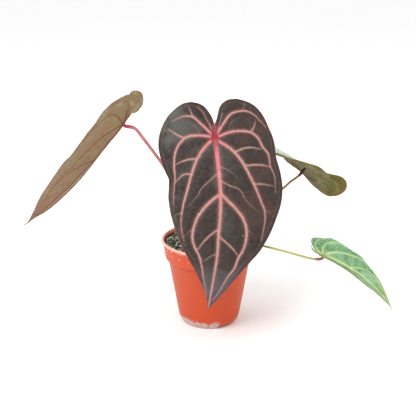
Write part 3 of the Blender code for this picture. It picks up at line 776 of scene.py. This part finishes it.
def blade_shape(name, leaf):
    """The upper skin, with each vertex's place on the flat leaf."""
    axes = leaf_axes(leaf)
    shape = bmesh.new()
    flat_of = shape.verts.layers.float_vector.new("flat")
    rows, columns = leaf["rows"], leaf["columns"]
    for side in (1, -1):
        lobe, midrib, margin = ([Vector((x, y, 0)) for x, y in line] for line in leaf_edges(name, leaf, side))
        ends = []
        for i in range(rows + 1):
            row = i / rows
            if row < LOBE_SHARE:
                inner = curve_through(lobe, row / LOBE_SHARE)
            else:
                inner = curve_through(midrib, (row - LOBE_SHARE) / (1 - LOBE_SHARE))
            ends.append((inner, curve_through(margin, row)))
        made = bmesh.ops.create_grid(shape, x_segments=columns, y_segments=rows, size=1)
        for vert in made["verts"]:
            out = (vert.co.x + 1) / 2
            inner, outer = ends[round((1 - vert.co.y) / 2 * rows)]
            flat = inner.lerp(outer, out)
            vert[flat_of] = flat
            vert.co = leaf_point(leaf, axes, flat.x if abs(flat.x) > NOTHING else side * NOTHING, flat.y)
    bmesh.ops.remove_doubles(shape, verts=shape.verts, dist=0.02 * MM)
    bmesh.ops.recalc_face_normals(shape, faces=shape.faces)
    upwards = sum(face.normal.dot(axes[2]) * face.calc_area() for face in shape.faces)
    if upwards < 0:
        bmesh.ops.reverse_faces(shape, faces=shape.faces)
    shape.normal_update()
    return shape


FIELDS = ("main_vein", "main_strength", "side_vein", "strength", "margin", "rosy")


def blade(name, leaf, node, upper, under):
    shape = blade_shape(name, leaf)
    main, side = leaf_veins(name, leaf)
    main_tree, main_half = line_tree(main)
    side_tree, side_half = line_tree(side)
    edge_tree, _ = line_tree([(1, 1, line) for s in (1, -1) for line in leaf_edges(name, leaf, s)[::2]])
    flat_of = shape.verts.layers.float_vector["flat"]
    fields = [shape.verts.layers.float.new(key) for key in FIELDS]
    weight = shape.verts.layers.deform.verify()
    size = leaf["length"] / 205
    seed = 13.7 * len(name)
    for vert in shape.verts:
        flat = vert[flat_of].copy()
        _, index, away = main_tree.find(flat)
        half = max(main_half[index], 0.5)
        rib = away / half
        bold = min(max((2 * main_half[index] - 0.5) / (1.5 * size**0.5), 0.3), 1)
        _, index, side_away = side_tree.find(flat)
        thin = side_away / side_half[index]
        _, _, edge = edge_tree.find(flat)
        quilt = 1.5 * size * (1 - bell(away, 7 * size)) * (0.35 + 0.65 * (1 - bell(side_away, 4 * size)))
        relief = quilt - 0.45 * bell(rib, 1.5) - 0.12 * bell(thin, 1.8)
        relief += 0.55 * noise.noise(flat * 0.05 + Vector((seed, 0, 0))) + 0.22 * noise.noise(flat * 0.17)
        relief += 0.07 * noise.noise(flat * 0.55)
        wave = noise.noise(flat * 0.035 + Vector((0, seed, 3)))
        relief += 2.4 * size * wave * bell(edge, 14 * size) - 0.5 * bell(edge, 1.5)
        for x, y, reach, rise in leaf["dents"]:
            relief += rise * bell((flat - Vector((x, y, 0))).length, reach)
        vert.co += vert.normal * (relief * MM + BLADE_LIFT)
        near_joint = bell(flat.length, 3.6 * size) + 0.9 * bell(flat.x, 3 * size) * (0 < flat.y < 20 * size)
        on_midrib = bell(flat.x - 5 * size * bell(flat.y + 75 * size, 60 * size), 4.5) * (flat.y < 0)
        pink = 0.42 * on_midrib * bell(flat.y, 105 * size)
        pink = pink + 0.3 * bell(flat.length, 34 * size) + 0.25 * bell(flat.length, 12 * size)
        faint = min(max((2 * side_half[index] - 1.2) / (0.8 * size**0.5), 0.25), 1)
        values = (min(rib, 12), bold, min(thin, 12), faint, min(edge / size, 20), min(1, near_joint + pink))
        for field, value in zip(fields, values):
            vert[field] = value
        thick = max(bell(rib, 1.2), 0.45 * bell(thin, 1.4)) * min(1, edge / 3)
        vert[weight][0] = 0.15 + 0.85 * thick
        vert[flat_of] = flat * MM
    mesh = to_mesh(name + "_skin", shape)

    def thicken(holder):
        holder.vertex_groups.new(name="thickness")
        wall = holder.modifiers.new("thickness", "SOLIDIFY")
        wall.thickness = BLADE_THICK * size**0.5
        wall.offset = -1
        wall.use_even_offset = False
        wall.vertex_group = "thickness"
        wall.thickness_vertex_group = BLADE_THIN * 0.7
        wall.material_offset = 1
        wall.material_offset_rim = 1

    for skin in (upper, under):
        mesh.materials.append(skin)
    made = settle(mesh, thicken)
    return finish_piece(name + "_leaf", made, node, (upper, under), 60)


# ---- stalks
def stalk_skin(name, low, high, blush, start, end):
    """Smooth skin of a stalk that changes from low to high between two places along its length."""
    made = new_material(
        name, Specular_IOR_Level=0.5, Coat_Weight=0.12, Subsurface_Weight=0.08,
        Subsurface_Radius=(0.004, 0.0015, 0.001),
    )
    place = own_place()
    mottle = use(MOTTLE, place, 110, 0.9)
    fibre = noisy(stretched(place, (1, 1, 0.2)), 900, 2)
    dots = use(SPECKS, place, 600, 0.3, 0.22)
    colour = coat(
        mix(ramp(read("along"), start, end), low, high),
        (times(mottle["Patch"], 0.35), blush),
        (times(ramp(fibre, 0.5, 0.7), 0.25), blush),
    )
    height = plus(times(fibre, 0.6), times(dots["Spots"], 0.4))
    return dress(made, colour, plus(0.3, times(mottle["Fine"], 0.25)), height, 0.18 * MM)


STALK_SKINS = {
    name: stalk_skin(name, *tones)
    for name, *tones in (
        ("pink_stalk", (194, 148, 134), (172, 88, 96), (198, 142, 134), 0.07, 0.15),
        ("yellow_stalk", (160, 160, 66), (168, 164, 76), (146, 138, 54), 0, 0.1),
        ("tan_stalk", (176, 158, 84), (160, 126, 74), (146, 104, 60), 0.02, 0.13),
        ("crimson_hinge", (190, 100, 108), (168, 52, 78), (150, 38, 62), 0, 0.01),
        ("brown_hinge", (132, 78, 60), (84, 34, 32), (70, 28, 28), 0, 0.008),
        ("rust_hinge", (176, 128, 88), (138, 74, 56), (120, 62, 50), 0, 0.008),
    )
}


def stalk_points(leaf):
    normal = leaf_axes(leaf)[2]
    end = leaf_joint(leaf) - normal * 0.4 * MM
    route = [Vector(point) * MM + Vector((0, 0, STALK_LEVEL)) for point in leaf["stalk_route"]]
    for place in route:
        if place.to_2d().length > 0.8 * RIM_RADIUS:
            place.z = max(place.z, RIM_TOP + STALK_OVER_RIM + leaf["stalk"] * MM)
    return even_points(route + [end - normal * 4 * MM, end], 2.5 * MM)


def roughen(shape, depth, scale):
    """Pushes the surface in and out a little."""
    shape.normal_update()
    for vert in shape.verts:
        vert.co += vert.normal * depth * noise.noise(vert.co * scale)


def stalk_and_hinge(name, leaf, skins):
    stalk, hinge = split_route(stalk_points(leaf), HINGE_LENGTH)
    thick = leaf["stalk"] * MM
    shape = tube_shape(stalk, [thick * f for f in (1.35, 1.12, 1.02, 0.98, 0.96, 0.95)])
    roughen(shape, 0.14 * MM, 160)
    finish_piece(f"{name}_stalk", to_mesh("stalk", shape), f"stalk_{name}", (skins[0],), 60)
    swell = leaf["hinge"] * MM
    radii = [thick * 0.95] + [swell * f for f in (0.98, 1.04, 1.03, 1, 0.96, 0.8)]
    shape = tube_shape(even_points(hinge, 1 * MM), radii, 16)
    roughen(shape, 0.22 * MM, 260)
    finish_piece(f"{name}_hinge", to_mesh("hinge", shape), f"hinge_{name}", (skins[1],), 60)


# ---- pot
def pot_skin():
    """Thin moulded plastic, duller and darker on the collar and paler on the lip, with scuffs and a chalky
    crust at the foot.
    """
    made = new_material(
        "pot_plastic", Specular_IOR_Level=0.22, Subsurface_Weight=0.06,
        Subsurface_Radius=(0.006, 0.002, 0.001)
    )
    place = own_place()
    x, y, height = put("SeparateXYZ", place).outputs
    collar_foot = RIM_TOP - COLLAR_HEIGHT

    def over(level, low, high, most=1, least=0):
        """A soft step in height, between two millimetre marks over a level."""
        return ramp(height, level + low * MM, level + high * MM, most, least)

    level = put("CombineXYZ", x, y, 0).outputs[0]
    radius = put("VectorMath", level, operation="LENGTH").outputs["Value"]
    outward = put("VectorMath", level, operation="NORMALIZE").outputs[0]
    facing = put("VectorMath", outward, CRUST_SIDE, operation="DOT_PRODUCT").outputs["Value"]
    mottle = use(MOTTLE, place, 16, 0.8)
    fine = use(MOTTLE, place, 160, 1.2)
    flow = noisy(stretched(place, (1, 1, 0.06)), 150, 3)
    scuff = noisy(stretched(place, (1, 1, 5)), 75, 6, 0.7, 0.8)
    # Painted shade: a darker band on the step and just below it, under the collar's overhang.
    painted_shade_under_step = times(over(collar_foot, 1.2, -0.4), over(collar_foot, -7, -2.5))
    # Chalk climbs unevenly from the foot
    grime = noisy(place, 150, 6, 0.75, 0.5)
    reach = plus(times(facing, 0.0045), times(minus(grime, 0.5), 0.022))
    breaks = noisy(place, 480, 4, 0.7)
    crust = times(ramp(minus(height, reach), 0.0078, 0.0042), ramp(breaks, 0.36, 0.46))
    crust = times(crust, ramp(facing, 0.52, 0.66, 1, 0.06))
    chalk = mix(fine["Patch"], (252, 222, 220), (255, 252, 250))
    # Splashes under the lip, and a few anywhere
    drops = use(SPECKS, place, 300, 0.42, 0.34)
    few = use(SPECKS, place, 150, 0.10, 0.09)
    under_rim = times(over(RIM_TOP, -16, -7), over(RIM_TOP, -1.5, -4))
    under_rim = times(under_rim, ramp(facing, 0.35, 0.8))
    # The inside of the wall is darker from a few millimetres below the rim down
    wall = plus(0.0388, times(height, 0.155))
    inside = times(ramp(minus(radius, wall), 0, -0.0005), over(RIM_TOP, -7.5, -4, 0, 0.5))
    colour = coat(
        mix(over(0, 15, 75), (236, 78, 24), (236, 84, 34)),
        (times(mottle["Patch"], 0.3), (220, 76, 36)),
        (over(collar_foot, -0.5, 1.5, 0.8), (184, 76, 46)),
        # painted shade under the step
        (times(painted_shade_under_step, 0.7), (138, 44, 26)),
        (over(RIM_TOP, -4.5, -2.8, 0.95), (240, 180, 162)),
        (ramp(flow, 0.5, 0.75, 0.18), (214, 96, 64)),
        (ramp(scuff, 0.62, 0.74, 0.3), (236, 160, 136)),
        (times(crust, 0.92), chalk),
        (times(drops["Spots"], plus(times(under_rim, 0.95), 0.05)), (244, 226, 220)),
        (times(few["Spots"], 0.7), (236, 170, 150)),
        (inside, (120, 66, 48)),
    )
    rough = plus(plus(0.34, times(fine["Fine"], 0.2)), times(crust, 0.35))
    relief = plus(times(flow, 0.25), times(fine["Fine"], 0.2))
    relief = plus(relief, times(crust, plus(0.8, breaks)))
    return dress(made, colour, rough, relief, 0.3 * MM)


def pot_outer():
    collar_top = RIM_RADIUS - LIP_PROUD
    collar_foot = collar_top - COLLAR_TAPER
    step_top = RIM_TOP - COLLAR_HEIGHT
    heel = FOOT_RADIUS + HEEL_DEPTH
    return [
        (RIM_RADIUS - 0.6 * MM, RIM_TOP),
        (RIM_RADIUS, RIM_TOP - 0.6 * MM),
        (RIM_RADIUS, RIM_TOP - LIP_HEIGHT + 0.6 * MM),
        (collar_top, RIM_TOP - LIP_HEIGHT),
        (collar_foot, step_top),
        (collar_foot - STEP_DEPTH, step_top - STEP_HEIGHT),
        (heel, HEEL_HEIGHT),
        (heel - 0.16 * HEEL_DEPTH, 0.64 * HEEL_HEIGHT),
        (heel - 0.45 * HEEL_DEPTH, 0.32 * HEEL_HEIGHT),
        (heel - 0.85 * HEEL_DEPTH, 0.09 * HEEL_HEIGHT),
        (FOOT_RADIUS, 0),
    ]


def pot_inner():
    wall = [(radius - WALL, height) for radius, height in pot_outer()[3:8]]
    mouth = (RIM_RADIUS - LIP_PROUD - WALL + 0.3 * MM, RIM_TOP)
    return [(FOOT_RADIUS, FLOOR_RISE + FLOOR)] + wall[::-1] + [mouth]


def inner_radius(height):
    points = pot_inner()
    for (low_r, low_z), (high_r, high_z) in zip(points, points[1:]):
        if low_z <= height <= high_z:
            return low_r + (high_r - low_r) * (height - low_z) / (high_z - low_z)
    return points[-1][0]


def nursery_pot():
    ring = FOOT_RADIUS - FOOT_RING
    boss = [(BOSS_RADIUS + 0.4 * MM, FLOOR_RISE), (BOSS_RADIUS, 0), (0, 0)]
    underside = [(ring, 0), (ring, FLOOR_RISE)] + boss
    shape = turned_shape([(0, FLOOR_RISE + FLOOR)] + pot_inner() + pot_outer() + underside, POT_STEPS)
    round_edges(shape, 0.45 * MM)
    mesh = to_mesh("pot", shape)

    def cuts(holder):
        tools = []
        for degrees in NOTCH_ANGLES:
            tool = bmesh.new()
            bmesh.ops.create_cube(tool, size=1)
            bmesh.ops.scale(tool, vec=(11.2 * MM, NOTCH_WIDTH, 2 * NOTCH_HEIGHT), verts=tool.verts)
            round_edges(tool, 1.2 * MM, 3)
            turn = Matrix.Rotation(math.radians(degrees - 90), 4, "Z")
            out = Matrix.Translation((FOOT_RADIUS + 1.6 * MM, 0, 0))
            bmesh.ops.transform(tool, matrix=turn @ out, verts=tool.verts)
            tools.append(tool)
        for number in range(DRAINS):
            tool = bmesh.new()
            turn = Matrix.Rotation(math.tau * number / DRAINS, 4, "Z")
            bmesh.ops.create_cone(
                tool, cap_ends=True, segments=24, radius1=DRAIN_RADIUS, radius2=DRAIN_RADIUS, depth=20 * MM,
                matrix=turn @ Matrix.Translation((DRAIN_RING, 0, 0)),
            )
            tools.append(tool)
        helpers = []
        for tool in tools:
            helper = place_in_scene("tool", to_mesh("tool", tool))
            cut = holder.modifiers.new("cut", "BOOLEAN")
            cut.operation = "DIFFERENCE"
            cut.solver = "EXACT"
            cut.object = helper
            helpers.append(helper)
        return helpers

    finish_piece("pot", settle(mesh, cuts), "nursery_pot", (pot_skin(),), 30)


# ---- mix, crown and sheaths
def mix_skin():
    """Loose chips: each has its own tone from dark bark to pale pumice."""
    made = new_material("potting_mix", Specular_IOR_Level=0.25)
    place = own_place()
    mottle = use(MOTTLE, place, 420, 1.2)
    chips = put("ValToRGB", read("kind"))
    stops = chips.color_ramp.elements
    stops[0].color = tone(30, 26, 20)
    stops[1].color = tone(240, 244, 236)
    chip_tones = ((0.3, 84, 68, 48), (0.5, 126, 112, 80), (0.62, 150, 156, 134), (0.82, 190, 200, 184))
    for position, *colour in chip_tones:
        stops.new(position).color = tone(*colour)
    colour = mix(times(mottle["Patch"], 0.45), chips.outputs[0], (62, 54, 42))
    pits = use(SPECKS, place, 1500, 0.6, 0.4)
    height = minus(mottle["Fine"], times(pits["Spots"], 0.5))
    return dress(made, colour, plus(0.78, times(mottle["Fine"], 0.2)), height, 0.35 * MM)


def potting_mix():
    rng = random.Random(41)
    edge = MIX_TOP - 1.5 * MM
    gap = 0.3 * MM
    floor = FLOOR_RISE + FLOOR
    wall = [(radius - gap, height) for radius, height in pot_inner() if floor < height < edge]
    foot = [(FOOT_RADIUS - gap, floor + gap), (0, floor + gap)]
    shoulder = inner_radius(edge) - gap
    top = [(shoulder * i / 24, MIX_TOP - 1.2 * MM + 1.6 * MM * (i / 24) ** 3) for i in range(25)]
    shape = turned_shape(top + wall[::-1] + foot, 64)
    kind = shape.verts.layers.float.new("kind")
    for vert in shape.verts:
        vert[kind] = 0.04
        if vert.co.z > edge - 2 * MM and vert.co.to_2d().length < shoulder - 1 * MM:
            vert.co.z += 0.7 * MM * noise.noise(vert.co * 260)
    for _ in range(CHIPS):
        angle = rng.uniform(0, math.tau)
        radius = math.sqrt(rng.uniform(0.03, 1)) * (shoulder - 1.6 * MM)
        size = rng.triangular(0.5, 2.4, 0.9) * MM
        pale = rng.random()
        value = rng.uniform(0.55, 1) if pale > 0.36 else rng.uniform(0.05, 0.5)
        height = MIX_TOP - 1.2 * MM + 1.9 * MM * (radius / shoulder) ** 3 + rng.uniform(-0.4, 0.9) * MM
        place = Matrix.Translation((radius * math.cos(angle), radius * math.sin(angle), height))
        angle = rng.uniform(0, math.tau)
        turn = Matrix.Rotation(angle, 4, Vector((rng.random(), rng.random(), rng.random() + 0.01)))
        flat = rng.uniform(0.35, 0.6) if value < 0.5 else rng.uniform(0.65, 1)
        long = rng.uniform(1.2, 2) if value < 0.5 else rng.uniform(0.9, 1.3)
        squash = Matrix.Diagonal((long, 1, flat, 1))
        made = bmesh.ops.create_icosphere(shape, subdivisions=1, radius=size, matrix=place @ turn @ squash)
        for vert in made["verts"]:
            vert.co += Vector([rng.uniform(-1, 1) for _ in range(3)]) * 0.24 * size
            vert[kind] = value
    finish_piece("mix", to_mesh("mix", shape), "potting_mix", (mix_skin(),), 25)


def bark_skin(name, dark, mid, pale, along=(1, 1, 0.25)):
    """Dry plant fibre, streaked along its length."""
    made = new_material(name, Specular_IOR_Level=0.25)
    place = own_place()
    mottle = use(MOTTLE, place, 130, 1.3)
    fibre = noisy(stretched(place, along), 620, 5, 0.65, 0.3)
    colour = mix(ramp(fibre, 0.48, 0.72), mix(mottle["Patch"], dark, mid), pale)
    return dress(made, colour, plus(0.6, times(mottle["Fine"], 0.3)), plus(fibre, mottle["Fine"]), 0.5 * MM)


def crown():
    low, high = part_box("crown_stem")
    shares = (
        (0.12, 0.995), (0.3, 0.985), (0.5, 0.965), (0.65, 0.94), (0.8, 0.9), (0.9, 0.85), (0.96, 0.78),
        (1, 0.68), (1, 0.6), (1, 0.5), (0.99, 0.4), (0.97, 0.3), (0.92, 0.2), (0.82, 0.12), (0.5, 0.02),
    )
    top = high.z - 0.6 * MM
    side = [(CROWN_RADIUS * 0.96 * r, low.z + (top - low.z) * z) for r, z in shares]
    shape = turned_shape([(0, top)] + side + [(0, low.z)], 40)
    shown = [e for e in shape.edges if max(v.co.z for v in e.verts) > MIX_TOP - 3 * MM]
    bmesh.ops.subdivide_edges(shape, edges=shown, cuts=1)
    for vert in shape.verts:
        if vert.co.z > MIX_TOP - 4 * MM:
            ring = math.sin(vert.co.z * 1500 + 2.2 * math.atan2(vert.co.y, vert.co.x))
            vert.co += vert.normal * (0.35 * MM * ring + 0.8 * MM * noise.noise(vert.co * 210))
            vert.co.z = min(vert.co.z, high.z)
    skin = bark_skin("crown_bark", (84, 66, 42), (132, 118, 74), (166, 150, 106), (1, 1, 3))
    finish_piece("crown", to_mesh("crown", shape), "crown_stem", (skin,), 60)


def sheaths():
    skin = bark_skin("papery_sheath", (112, 76, 48), (152, 112, 72), (196, 160, 112))
    for number, (direction, width, height) in enumerate(SHEATHS, 1):
        shape = bmesh.new()
        bmesh.ops.create_grid(shape, x_segments=26, y_segments=30, size=1)
        for vert in shape.verts:
            across, up = vert.co.x, (vert.co.y + 1) / 2
            fray = 1 - 0.10 * abs(noise.noise(Vector((across * 6, number * 3.1, 0)))) * (up > 0.7)
            angle = math.radians(direction + across * width / 2 * (1 - 0.8 * up * up))
            radius = CROWN_RADIUS + 1 * MM + 2 * MM * up + 1 * MM * up * up
            radius += 0.35 * MM * noise.noise(Vector((across * 3, up * 4, number)))
            radius += 0.18 * MM * math.cos(across * 26)
            rise = (0.5 * MM + height * up) * fray
            vert.co = (radius * math.cos(angle), radius * math.sin(angle), MIX_TOP + rise)
        bmesh.ops.remove_doubles(shape, verts=shape.verts, dist=NOTHING)
        bmesh.ops.recalc_face_normals(shape, faces=shape.faces)

        def thicken(holder):
            wall = holder.modifiers.new("thickness", "SOLIDIFY")
            wall.thickness = 0.4 * MM
            wall.offset = 0

        mesh = settle(to_mesh("sheath", shape), thicken)
        finish_piece(f"sheath_{number}_paper", mesh, f"sheath_{number}", (skin,), 60)


# ---- build
nursery_pot()
potting_mix()
crown()
sheaths()
root_skin = bark_skin("root", (170, 146, 100), (206, 188, 146), (226, 214, 180), (1, 1, 1))
for number in range(1, 5):
    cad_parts[f"root_{number}"].data.materials[0] = root_skin
PLANT = (
    ("front", "front", "velvet_upper", "left_under", "pink_stalk", "crimson_hinge"),
    ("left", "left", "velvet_upper", "left_under", "pink_stalk", "crimson_hinge"),
    ("upper_right", "right_upper", "mint_upper", "olive_under", "tan_stalk", "brown_hinge"),
    ("lower_right", "right_lower", "green_upper", "green_under", "yellow_stalk", "rust_hinge"),
)
for name, key, upper, under, _, _ in PLANT:
    blade(name, LEAVES[key], f"leaf_{key}", SKINS[upper], SKINS[under])
for name, key, _, _, stalk, hinge in PLANT:
    stalk_and_hinge(key, LEAVES[key], (STALK_SKINS[stalk], STALK_SKINS[hinge]))


# ---- floor, light and camera
def stage():
    shape = bmesh.new()
    bmesh.ops.create_grid(shape, x_segments=4, y_segments=4, size=12)
    floor = place_in_scene("floor", to_mesh("floor", shape))
    skin = new_material("floor", Roughness=0.9, Specular_IOR_Level=0.1)
    shade = mix(noisy(own_place(), 1.5, 2), (249.3, 249.3, 249.3), (251.6, 251.6, 251.6))
    fill(skin.node_tree.nodes["Principled BSDF"].inputs["Base Color"], shade)
    floor.data.materials.append(skin)
    world = bpy.data.worlds.new("studio")
    bpy.context.scene.world = world
    world.use_nodes = True
    world.node_tree.nodes["Background"].inputs["Color"].default_value = (1, 1, 1, 1)
    world.node_tree.nodes["Background"].inputs["Strength"].default_value = 1
    for name, place, size, power in (
        ("key", (-0.9, -1.1, 1.5), 1, 20),
        ("fill", (1.3, -0.9, 0.9), 1.4, 5),
        ("back", (0.3, 1.4, 1.3), 1.4, 8),
    ):
        light = bpy.data.lights.new(name, "AREA")
        light.size = size
        light.energy = power
        lamp = place_in_scene(name, light)
        lamp.location = place
        lamp.rotation_euler = (Vector((0, 0, 0.12)) - Vector(place)).to_track_quat("-Z", "Y").to_euler()


def camera():
    lens = bpy.data.cameras.new("camera")
    lens.sensor_width = 36
    lens.lens = 73.47
    lens.clip_start = 0.05
    eye = place_in_scene("camera", lens)
    eye.location = (-0.0015, -1, 0.484)
    eye.rotation_euler = (math.radians(90 - 18.5), 0, 0)
    bpy.context.scene.camera = eye


stage()
camera()
bpy.context.scene.view_settings.view_transform = "Standard"
